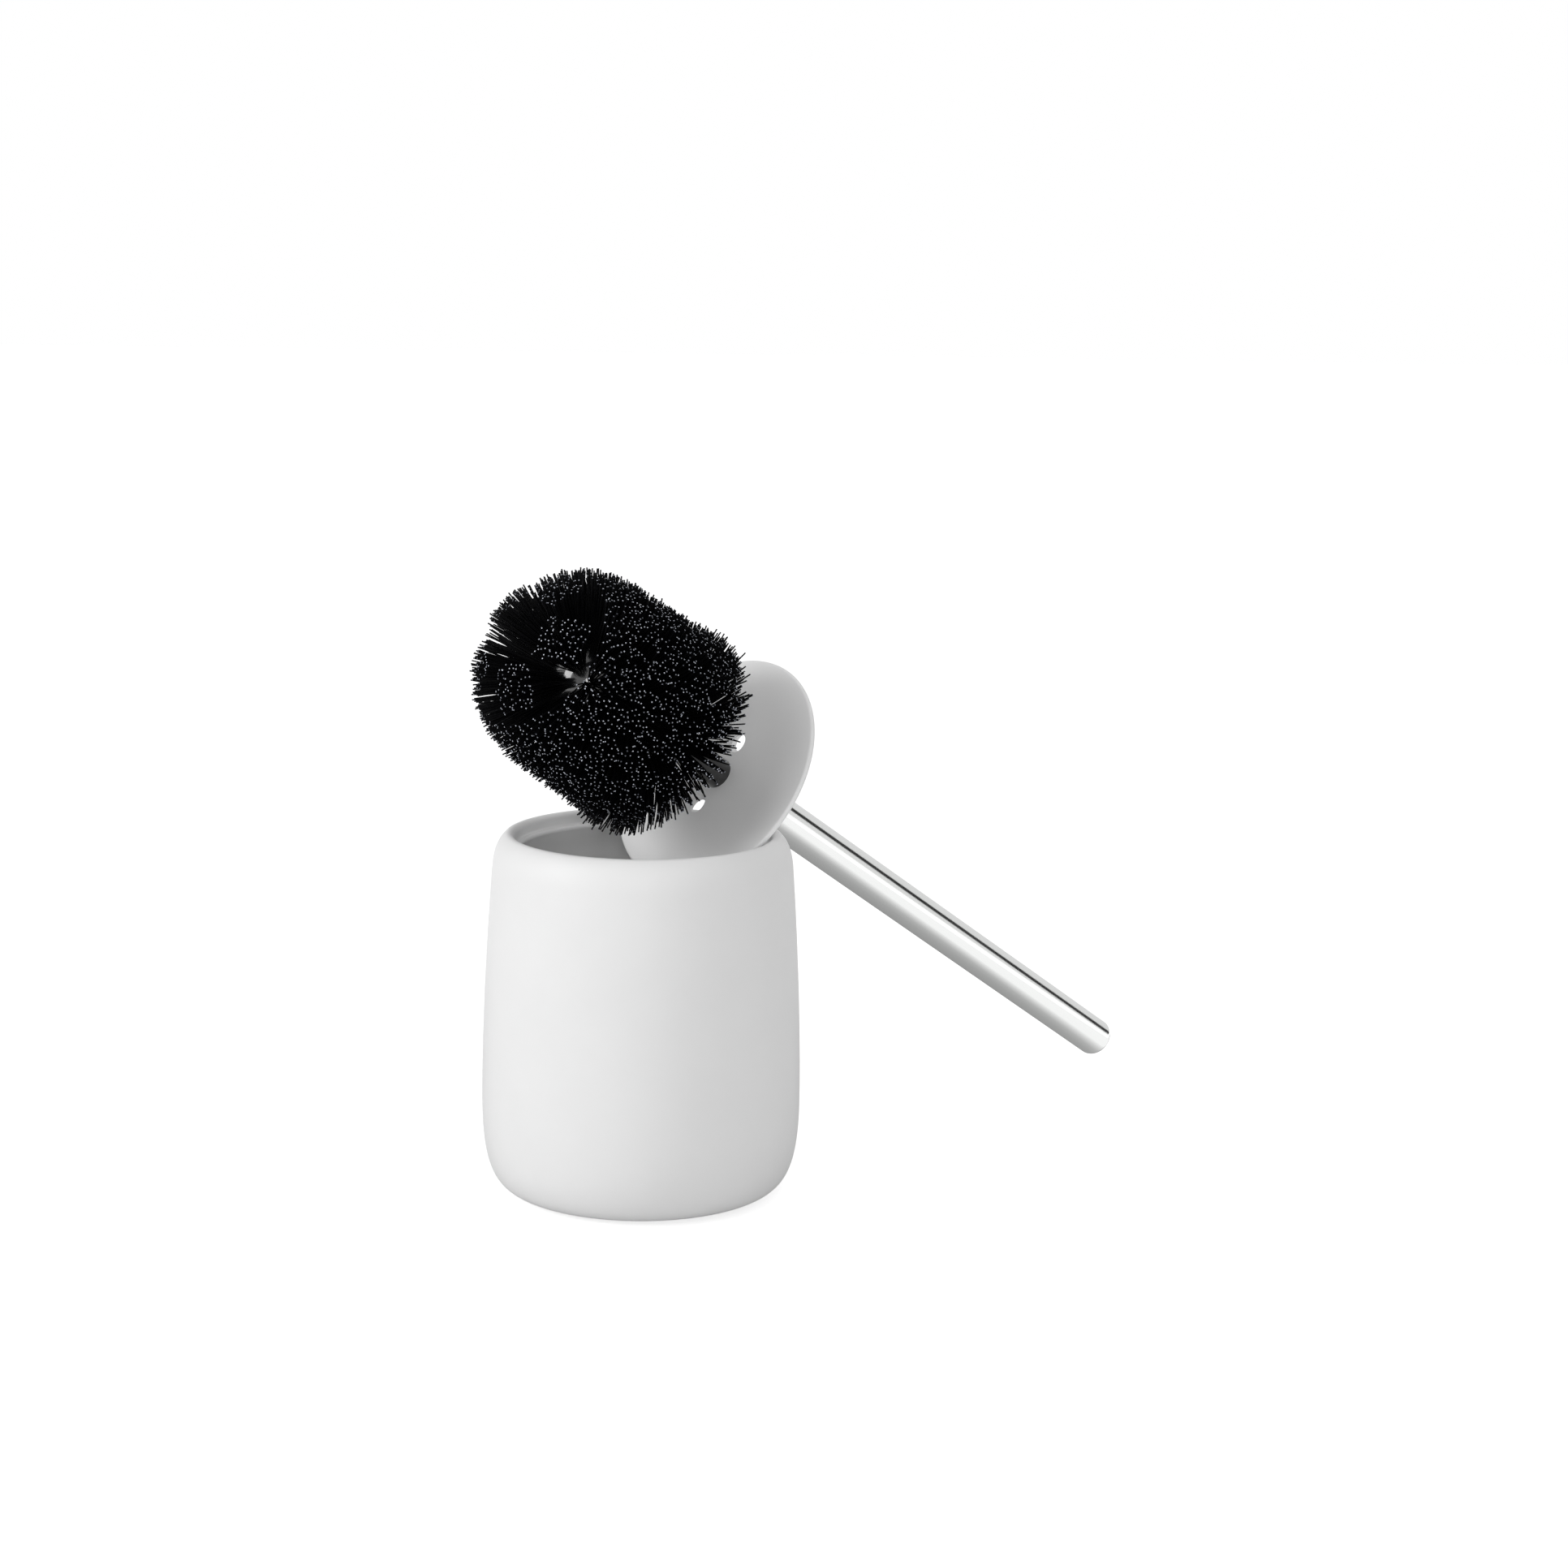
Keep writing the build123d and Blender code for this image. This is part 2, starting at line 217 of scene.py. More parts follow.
class BristleSizes(bpy.types.PropertyGroup):
    """Places and sizes of the bristles."""

    rings: IntProperty(name="Rings", description="Rings on the core's straight part", default=6)
    first: length("First Ring", "Lid to the first ring", 34.0)
    pitch: length("Ring Pitch", "From ring to ring", 7.45)
    tilt: angle("Tilt", "Tilt of the first ring towards the tip", 5.0)
    tilt_step: angle("Tilt Step", "More tilt for each ring", 5.2)
    turn: angle("Turn", "Place of the first tuft round the axis", 18.4)
    per_ring: IntProperty(name="Tufts", description="Tufts in each ring", default=11)
    base_radius: length("Base Radius", "Bristle tips at the first ring", 41.2)
    waist_radius: length("Waist Radius", "Bristle tips where the round tip starts", 39.1)
    waist: length("Waist", "Lid to the start of the round tip of the bristles", 73.0)
    dome: length("Dome", "Length of the round tip of the bristles", 43.0)
    dome_power: FloatProperty(name="Dome Power", description="2 is an ellipse, more is squarer", default=2.25)
    per_tuft: IntProperty(name="Bristles", description="Bristles in each tuft", default=48)
    base_per_tuft: IntProperty(name="Base Bristles", description="The same next to the lid", default=110)
    edge_per_tuft: IntProperty(name="Edge Bristles", description="The same round the core's tip", default=76)
    end_per_tuft: IntProperty(name="End Bristles", description="The same at its end", default=84)
    radius: length("Radius", "Radius of a bristle", 0.28)
    root_spread: length("Root Spread", "Half width of a tuft at its hole", 1.75)
    tip_across: length("Tip Across", "Half width of a tuft's tip, round the brush", 9.4)
    tip_along: length("Tip Along", "Half width of a tuft's tip, along the brush", 5.5)
    base_across: length("Base Across", "Half width of a tuft's tip next to the lid, round the brush", 11.2)
    base_along: length("Base Along", "The same along the brush", 5.2)
    edge_slope: angle("Edge Slope", "Slope of the ring round the edge of the core's tip", 32.5)
    edge_turn: angle("Edge Turn", "Place of that ring's first tuft round the axis", -16.0)
    edge_tufts: IntProperty(name="Edge Tufts", description="Tufts in that ring", default=9)
    edge_across: length("Edge Across", "Half width of a tuft's tip round the edge of the core's tip", 12.5)
    edge_along: length("Edge Along", "The same towards the end of the core's tip", 7.0)
    end_slope: angle("End Slope", "Slope of the ring at the end of the core's tip", 60.0)
    end_turn: angle("End Turn", "Place of that ring's first tuft round the axis", 3.0)
    end_tufts: IntProperty(name="End Tufts", description="Tufts in that ring", default=5)
    end_spread: length("End Spread", "Half width of a tuft's tip at the end of the core's tip", 8.8)
    clumps: IntProperty(name="Clumps", description="Clumps across half of a tuft next to the lid", default=3)
    cling: share("Cling", "How far the bristles of a clump close up", 0.6)
    sunk: length("Sunk", "Depth of the bristles' ends in the core", 1.5)
    bend: length("Bend", "How far a bristle bends to a side", 1.1)
    uneven: length("Uneven", "How far bristles differ in length", 0.6)
    base_uneven: length("Base Uneven", "The same next to the lid", 1.3)
    seed: IntProperty(name="Seed", description="Seed of the small differences", default=7)


class SetFinish(bpy.types.PropertyGroup):
    """Colours of the set."""

    ceramic: colour("Ceramic", "Pot", "#F2F2F2")
    ceramic_shade: colour("Ceramic Shade", "Faint clouding in the pot's glaze", "#EEEEEE")
    lid: colour("Lid", "Lid", "#F3F3F3")
    steel: colour("Steel", "Handle", "#F2F3F2")
    core: colour("Core", "Core of the brush", "#0A0B0D")
    bristle: colour("Bristle", "Bristles", "#050507")
    # Painted glint: the cut ends are black like the bristles; these two greys paint the light they catch,
    # pale on some ends and dim on others
    end_glint: colour("Cut End", "Cut ends of the bristles", "#C2C6D0")
    end_dim_glint: colour("Dull End", "Cut ends that lie askew", "#4C505A")
    thread: colour("Thread", "Plated thread", "#9C9C98")
    pad: colour("Pad", "Pad under the pot", "#BDBDB9")
    insert: colour("Insert", "Plug in the handle", "#1B1B1C")


# Outlines

def curve(start, start_dir, end, end_dir, fullness, count=24):
    """Points of a curve that leaves and arrives in the given directions."""
    start, end = Vector(start), Vector(end)
    start_dir, end_dir = Vector(start_dir), Vector(end_dir)
    across = start_dir.cross(end_dir)
    corner = start + start_dir * ((end - start).cross(end_dir) / across)
    near_start = start.lerp(corner, fullness)
    near_end = end.lerp(corner, fullness)
    points = []
    for step in range(count + 1):
        t = step / count
        points.append(
            start * (1 - t) ** 3
            + near_start * 3 * t * (1 - t) ** 2
            + near_end * 3 * t ** 2 * (1 - t)
            + end * t ** 3
        )
    return points


def ogee(start, end, count=24):
    """Points of an S-curve that is level at both ends."""
    points = []
    for step in range(count + 1):
        t = step / count
        rise = t * t * (3 - 2 * t)
        points.append(Vector((start[0] + (end[0] - start[0]) * t, start[1] + (end[1] - start[1]) * rise)))
    return points


def arc(centre, radius, start, end, count=12):
    """Points of an arc between two angles, in degrees."""
    points = []
    for step in range(count + 1):
        turn = math.radians(start + (end - start) * step / count)
        points.append(Vector((centre[0] + radius * math.cos(turn), centre[1] + radius * math.sin(turn))))
    return points


def outline(*runs):
    """One outline from runs of points, with no point twice in a row."""
    points = []
    for point in (Vector(point) for run in runs for point in run):
        if not points or (point - points[-1]).length > MERGE_DISTANCE:
            points.append(point)
    return points


# Modelling

def begin():
    """Leave nothing selected, because an operator acts on all that is."""
    bpy.ops.object.select_all(action="DESELECT")


def draw(name, points):
    """A chain of edges through points of radius and height, left in edit mode."""
    begin()
    bpy.ops.mesh.primitive_plane_add(size=MM)
    piece = bpy.context.object
    piece.name = piece.data.name = name
    bpy.ops.object.mode_set(mode="EDIT")
    bpy.ops.mesh.select_all(action="SELECT")
    bpy.ops.mesh.merge(type="CENTER")
    place = Vector((0, 0, 0))
    for number, point in enumerate(points):
        step = Vector((point[0], 0, point[1])) - place
        if number:
            bpy.ops.mesh.extrude_vertices_move(TRANSFORM_OT_translate={"value": step})
        else:
            bpy.ops.transform.translate(value=step)
        place += step
    return piece


def close_up(piece):
    """Merge seams and poles, turn the faces outwards and leave edit mode."""
    bpy.ops.mesh.select_all(action="SELECT")
    bpy.ops.mesh.remove_doubles(threshold=MERGE_DISTANCE)
    bpy.ops.mesh.normals_make_consistent(inside=False)
    bpy.ops.object.mode_set(mode="OBJECT")
    bpy.ops.object.shade_smooth_by_angle(angle=SMOOTH_ANGLE)
    return piece


def lathe(name, points, turns):
    """A round piece with the given outline of radius and height."""
    piece = draw(name, points)
    bpy.ops.mesh.select_all(action="SELECT")
    bpy.ops.mesh.spin(steps=turns, angle=2 * math.pi, center=(0, 0, 0), axis=(0, 0, 1))
    return close_up(piece)


def settle(piece, place, body, slot, materials, *nodes):
    """Put a finished piece in place, with its materials, on its body and instead of its solids."""
    piece.data.transform(place)
    for material in materials:
        piece.data.materials.append(material)
    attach(piece, body)
    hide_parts(*nodes)


def refinish(node, material):
    """Give a solid that stays its finished material."""
    node_mesh = frame["nodes"][node].data
    node_mesh.materials.clear()
    node_mesh.materials.append(material)


# Materials

def add_node(owner, kind, inputs, **settings):
    """Add a node with its settings to a material or the world, and set or link its inputs."""
    tree = owner.node_tree
    node = tree.nodes.new(kind)
    for name, value in settings.items():
        setattr(node, name, value)
    for name, value in inputs.items():
        if isinstance(value, bpy.types.NodeSocket):
            tree.links.new(value, node.inputs[name])
        else:
            node.inputs[name].default_value = value
    return node


def new_material(name, **values):
    """A material with the given values on its surface shader."""
    material = bpy.data.materials.new(name)
    material.use_nodes = True
    surface = material.node_tree.nodes["Principled BSDF"]
    for value_name, value in values.items():
        surface.inputs[value_name.replace("_", " ")].default_value = value
    return material, surface


def link(owner, output, node, name):
    """Feed an input of a node that is already there."""
    owner.node_tree.links.new(output, node.inputs[name])


def ceramic_material(finish):
    """Stoneware under a satin-matt white glaze: soft, chalky light with a faint clouding."""
    material, surface = new_material("satin_matt_glaze", Roughness=0.52, IOR=1.5)
    place = add_node(material, "ShaderNodeTexCoord", {}).outputs["Object"]
    # The clouding drifts over about 22 mm
    cloud = add_node(material, "ShaderNodeTexNoise", {"Vector": place, "Scale": 1 / (22 * MM), "Detail": 3.0})
    tints = {"Factor": cloud.outputs["Fac"], MIX_FIRST: finish.ceramic, MIX_SECOND: finish.ceramic_shade}
    mix = add_node(material, "ShaderNodeMix", tints, data_type="RGBA")
    link(material, mix.outputs[MIX_RESULT], surface, "Base Color")
    # Glaze settles in ripples about 1.4 mm apart, drawn a little deeper than real so that they show
    ripple = add_node(
        material, "ShaderNodeTexNoise", {"Vector": place, "Scale": 1 / (1.4 * MM), "Detail": 2.0}
    )
    bump = add_node(
        material, "ShaderNodeBump", {"Strength": 0.08, "Distance": 0.12 * MM, "Height": ripple.outputs["Fac"]}
    )
    link(material, bump.outputs["Normal"], surface, "Normal")
    return material


def lid_material(finish):
    """Injection-moulded ABS with a fine spark-eroded grain: satin white, no sharp reflections."""
    material, surface = new_material("satin_moulded_abs", Base_Color=finish.lid, Roughness=0.46, IOR=1.53)
    place = add_node(material, "ShaderNodeTexCoord", {}).outputs["Object"]
    # The grain is about 0.1 mm; drawn 0.5 mm wide so that it shows
    grain = add_node(
        material, "ShaderNodeTexNoise", {"Vector": place, "Scale": 1 / (0.5 * MM), "Detail": 2.0}
    )
    bump = add_node(
        material, "ShaderNodeBump", {"Strength": 0.06, "Distance": 0.05 * MM, "Height": grain.outputs["Fac"]}
    )
    link(material, bump.outputs["Normal"], surface, "Normal")
    return material


def steel_material(finish):
    """Stainless tube brushed along its length: fine lines that draw reflections out lengthways."""
    material, surface = new_material("brushed_stainless", Base_Color=finish.steel, Metallic=1.0)
    place = add_node(material, "ShaderNodeTexCoord", {}).outputs["Object"]
    along = add_node(
        material,
        "ShaderNodeMapping",
        {"Vector": place, "Location": brush_origin, "Rotation": brush_turn.to_euler(), "Scale": (1, 1, 90)},
        vector_type="TEXTURE",
    ).outputs["Vector"]
    # Brush lines are about 0.05 mm wide; drawn 0.5 mm wide so that they show
    lines = add_node(
        material, "ShaderNodeTexNoise", {"Vector": along, "Scale": 1 / (0.5 * MM), "Detail": 3.0}
    )
    rough = add_node(
        material, "ShaderNodeMapRange", {"Value": lines.outputs["Fac"], "To Min": 0.1, "To Max": 0.17}
    )
    link(material, rough.outputs["Result"], surface, "Roughness")
    bump = add_node(
        material, "ShaderNodeBump", {"Strength": 0.025, "Distance": 0.02 * MM, "Height": lines.outputs["Fac"]}
    )
    link(material, bump.outputs["Normal"], surface, "Normal")
    return material


def core_material(finish):
    """Glossy moulded polypropylene, black, with slight flow waves that break up its highlights."""
    material, surface = new_material(
        "gloss_black_moulding", Base_Color=finish.core, Roughness=0.13, IOR=1.5, Coat_Weight=1.0
    )
    place = add_node(material, "ShaderNodeTexCoord", {}).outputs["Object"]
    # Flow waves are about 3 mm apart
    waves = add_node(material, "ShaderNodeTexNoise", {"Vector": place, "Scale": 1 / (3 * MM), "Detail": 2.0})
    bump = add_node(
        material, "ShaderNodeBump", {"Strength": 0.25, "Distance": 0.3 * MM, "Height": waves.outputs["Fac"]}
    )
    link(material, bump.outputs["Normal"], surface, "Normal")
    return material


def bristle_materials(finish):
    """Extruded black bristle with a dull shine, and its cut end, whose glint is painted into its colour as a
    pale grey, dimmer on some ends.
    """
    shaft, surface = new_material(
        "black_bristle", Base_Color=finish.bristle, IOR=1.53, Specular_IOR_Level=0.1
    )
    place = add_node(shaft, "ShaderNodeTexCoord", {}).outputs["Object"]
    # Dull and shiny stretches of about 2.5 mm
    wear = add_node(shaft, "ShaderNodeTexNoise", {"Vector": place, "Scale": 1 / (2.5 * MM), "Detail": 1.0})
    rough = add_node(
        shaft, "ShaderNodeMapRange", {"Value": wear.outputs["Fac"], "To Min": 0.4, "To Max": 0.6}
    )
    link(shaft, rough.outputs["Result"], surface, "Roughness")
    cut, surface = new_material("cut_bristle_end_glint", Roughness=0.45, IOR=1.53)
    place = add_node(cut, "ShaderNodeTexCoord", {}).outputs["Object"]
    # Painted glint: the ends' painted brightness differs from one to the next, about 1.5 mm apart
    spots = add_node(cut, "ShaderNodeTexNoise", {"Vector": place, "Scale": 1 / (1.5 * MM), "Detail": 1.0})
    glint_share = add_node(
        cut, "ShaderNodeMapRange", {"Value": spots.outputs["Fac"], "From Min": 0.4, "From Max": 0.6}
    )
    tints = {"Factor": glint_share.outputs["Result"], MIX_FIRST: finish.end_dim_glint, MIX_SECOND: finish.end_glint}
    mix = add_node(cut, "ShaderNodeMix", tints, data_type="RGBA")
    link(cut, mix.outputs[MIX_RESULT], surface, "Base Color")
    return shaft, cut


def plain_grain(name, tint, grain_mm, strength, **values):
    """A plain foamed, moulded or plated surface with a fine grain."""
    material, surface = new_material(name, Base_Color=tint, **values)
    place = add_node(material, "ShaderNodeTexCoord", {}).outputs["Object"]
    # Foam has cells of about 0.8 mm; finer grains are drawn coarser than real so that they show
    grain = add_node(material, "ShaderNodeTexNoise", {"Vector": place, "Scale": 1 / (grain_mm * MM)})
    bump = add_node(
        material,
        "ShaderNodeBump",
        {"Strength": strength, "Distance": 0.1 * MM, "Height": grain.outputs["Fac"]},
    )
    link(material, bump.outputs["Normal"], surface, "Normal")
    return material


# Pieces

class BRUSHSET_OT_pot(bpy.types.Operator):
    """Turn the ceramic pot, with its lip, ledge and foot"""

    bl_idname = "brush_set.pot"
    bl_label = "Pot"

    def execute(self, context):
        sizes = context.scene.pot_sizes
        foot = pot_low.z
        crest = pot_high.z
        belly_r = (pot_high.x - pot_low.x) / 2
        mouth = belly_r - sizes.mouth_inset
        lip_centre = (mouth + sizes.lip_radius, crest - sizes.lip_radius)
        seat = crest - sizes.seat_drop
        nose_centre = (mouth - sizes.seat_corner - sizes.seat_flat, seat - sizes.seat_nose)
        belly = (belly_r, foot + sizes.belly_height)
        inner_belly = (belly_r - sizes.wall, belly[1])
        shoulder = (belly_r - sizes.shoulder_inset, crest - sizes.shoulder_drop)
        shoulder_dir = (-sizes.shoulder_slope, 1)
        floor_edge = (sizes.foot_radius - sizes.wall, foot + sizes.floor)
        recess = sizes.foot_radius - sizes.foot_ring
        recess_top = foot + sizes.recess
        lip_start = 90 - math.degrees(sizes.lip_turn)
        lip_dir = (-math.cos(sizes.lip_turn), math.sin(sizes.lip_turn))
        lip = arc(lip_centre, sizes.lip_radius, lip_start, 180, 20)
        nose = arc(nose_centre, sizes.seat_nose, 90, 270 - math.degrees(sizes.seat_slope))
        under = shoulder[0] - sizes.wall - nose[-1].x
        inner_shoulder = nose[-1] + Vector((under, -under * math.tan(sizes.seat_slope)))
        corner_centre = (mouth - sizes.seat_corner, seat + sizes.seat_corner)
        points = outline(
            [(0, recess_top), (recess, recess_top), (recess, foot), (sizes.foot_radius, foot)],
            curve((sizes.foot_radius, foot), (1, 0), belly, (0, 1), sizes.foot_fullness, 40),
            curve(belly, (0, 1), shoulder, shoulder_dir, sizes.wall_fullness),
            curve(shoulder, shoulder_dir, lip[0], lip_dir, sizes.shoulder_fullness),
            lip,
            arc(corner_centre, sizes.seat_corner, 0, -90),
            nose,
            curve(inner_shoulder, (sizes.shoulder_slope, -1), inner_belly, (0, -1), sizes.wall_fullness),
            curve(inner_belly, (0, -1), floor_edge, (-1, 0), sizes.foot_fullness, 40),
            [(0, floor_edge[1])],
        )
        pot = lathe("pot", points, sizes.turns)
        material = ceramic_material(context.scene.set_finish)
        settle(pot, Matrix.Identity(4), "holder", "glaze", [material], "holder")
        pad = plain_grain("foam_pad", context.scene.set_finish.pad, 0.8, 0.4, Roughness=0.9)
        refinish("base_pad", pad)
        return {"FINISHED"}


class BRUSHSET_OT_handle(bpy.types.Operator):
    """Turn the steel tube and its rounded end, and cut the thread at its lower end"""

    bl_idname = "brush_set.handle"
    bl_label = "Handle"

    def execute(self, context):
        sizes = context.scene.brush_sizes
        finish = context.scene.set_finish
        steel = steel_material(finish)
        start = sizes.lid_dish + sizes.lid_thickness
        seat = start + sizes.handle_length - sizes.cap_edge - sizes.cap_crown
        top = start + sizes.handle_length
        bore = sizes.handle_radius - sizes.handle_wall
        tube_points = outline(
            [(sizes.handle_radius, start), (sizes.handle_radius, seat), (bore, seat), (bore, start)],
            [(sizes.handle_radius, start)],
        )
        tube = lathe("handle_tube_brushed", tube_points, sizes.turns)
        settle(tube, brush_place, "handle", "steel", [steel], "handle_tube")
        cap_points = outline(
            [(0, seat - sizes.cap_plug), (bore, seat - sizes.cap_plug), (bore, seat)],
            arc((sizes.handle_radius - sizes.cap_edge, seat), sizes.cap_edge, 0, 90, 16),
            ogee((sizes.handle_radius - sizes.cap_edge, top - sizes.cap_crown), (0, top), 12),
        )
        cap = lathe("handle_end", cap_points, sizes.turns)
        settle(cap, brush_place, "handle", "steel", [steel], "handle_cap")
        self.thread(sizes, finish)
        refinish("thread_insert", plain_grain("handle_plug", finish.insert, 0.6, 0.2, Roughness=0.5))
        return {"FINISHED"}

    def thread(self, sizes, finish):
        """A stud with a rolled thread, as long as its solid."""
        vertices = frame["nodes"]["head_stud"].data.vertices
        heights = [handle_dir.dot(vertex.co - brush_origin) for vertex in vertices]
        low, high = min(heights), max(heights)
        pitch = sizes.thread_pitch
        root = sizes.thread_radius - THREAD_DEPTH * pitch
        crest = sizes.thread_radius
        turns = int((high - low) / pitch) - 1
        crest_low, crest_high = (low + share_of_pitch * pitch for share_of_pitch in THREAD_CREST)
        rib = [(root, low), (crest, crest_low), (crest, crest_high), (root, low + pitch)]
        stud = draw("threaded_stud", rib)
        bpy.ops.object.mode_set(mode="OBJECT")
        bpy.ops.object.modifier_add(type="SCREW")
        screw = stud.modifiers[-1]
        screw.angle = 2 * math.pi
        screw.screw_offset = pitch
        screw.iterations = turns
        screw.steps = screw.render_steps = THREAD_STEPS
        screw.use_merge_vertices = True
        bpy.ops.object.modifier_apply(modifier=screw.name)
        bpy.ops.object.mode_set(mode="EDIT")
        bpy.ops.mesh.select_all(action="SELECT")
        bpy.ops.mesh.remove_doubles(threshold=MERGE_DISTANCE)
        bpy.ops.mesh.fill_holes(sides=0)
        close_up(stud)
        material = plain_grain("zinc_plate", finish.thread, 0.4, 0.1, Metallic=1.0, Roughness=0.35)
        settle(stud, brush_place, "handle", "stud", [material], "head_stud")


class BRUSHSET_OT_lid(bpy.types.Operator):
    """Turn the dished lid and drill its drain holes"""

    bl_idname = "brush_set.lid"
    bl_label = "Lid"

    def execute(self, context):
        sizes = context.scene.brush_sizes
        dish = sizes.lid_dish
        top = dish + sizes.lid_thickness - sizes.lid_seat_gap
        hollow = sizes.lid_rim - sizes.lid_flange
        points = outline(
            [(sizes.lid_bore, dish)],
            ogee((hollow, dish), (sizes.lid_rim, 0), 40),
            arc((sizes.lid_rim, sizes.lid_edge), sizes.lid_edge, -90, 90, 16),
            ogee((sizes.lid_rim, 2 * sizes.lid_edge), (sizes.lid_rim - sizes.lid_crown, top), 48),
            [(sizes.lid_bore, top), (sizes.lid_bore, dish)],
        )
        lid = lathe("dished_lid", points, 2 * sizes.turns)
        for half in range(2):
            self.drill(lid, sizes, sizes.drain_turn + half * math.pi, dish + sizes.lid_thickness / 2)
        begin()
        lid.select_set(True)
        context.view_layer.objects.active = lid
        bpy.ops.object.shade_smooth_by_angle(angle=SMOOTH_ANGLE)
        settle(lid, brush_place, "lid", "lid", [lid_material(context.scene.set_finish)], "lid")
        return {"FINISHED"}

    def drill(self, lid, sizes, turn, height):
        """Cut one drain hole, which leans outwards."""
        out = Vector((math.cos(turn), -math.sin(turn), 0))
        lean = out * math.sin(sizes.drain_splay) + Vector((0, 0, math.cos(sizes.drain_splay)))
        begin()
        bpy.ops.mesh.primitive_cylinder_add(
            vertices=DRILL_SIDES,
            radius=sizes.drain_radius,
            depth=DRILL_LENGTH * sizes.lid_thickness,
            location=out * sizes.drain_place + Vector((0, 0, height)),
            rotation=lean.to_track_quat("Z", "Y").to_euler(),
        )
        drill = bpy.context.object
        begin()
        lid.select_set(True)
        bpy.context.view_layer.objects.active = lid
        bpy.ops.object.modifier_add(type="BOOLEAN")
        cut = lid.modifiers[-1]
        cut.operation = "DIFFERENCE"
        cut.solver = "EXACT"
        cut.object = drill
        faces_before = len(lid.data.polygons)
        bpy.ops.object.modifier_apply(modifier=cut.name)
        bpy.data.objects.remove(drill)
        if len(lid.data.polygons) == faces_before:
            raise RuntimeError("The drill missed the lid")


class BRUSHSET_OT_core(bpy.types.Operator):
    """Turn the black core that carries the bristles"""

    bl_idname = "brush_set.core"
    bl_label = "Core"

    def execute(self, context):
        sizes = context.scene.brush_sizes
        spigot_top = sizes.lid_dish + sizes.lid_thickness - sizes.spigot_short
        neck_top = sizes.lid_dish - sizes.lid_seat_gap
        hole = sizes.thread_radius + THREAD_SLACK
        hole_end = spigot_top - sizes.thread_depth
        points = outline(
            arc((0, -sizes.core_end), sizes.core_radius, -90, 0, 32),
            [(sizes.core_radius, -sizes.core_start), (sizes.core_neck_radius, -sizes.core_neck)],
            [(sizes.core_neck_radius, neck_top), (sizes.spigot_radius, neck_top)],
            [(sizes.spigot_radius, spigot_top), (hole, spigot_top), (hole, hole_end), (0, hole_end)],
        )
        core = lathe("bristle_core", points, sizes.turns)
        settle(core, brush_place, "head", "core", [core_material(context.scene.set_finish)], "brush_core")
        return {"FINISHED"}


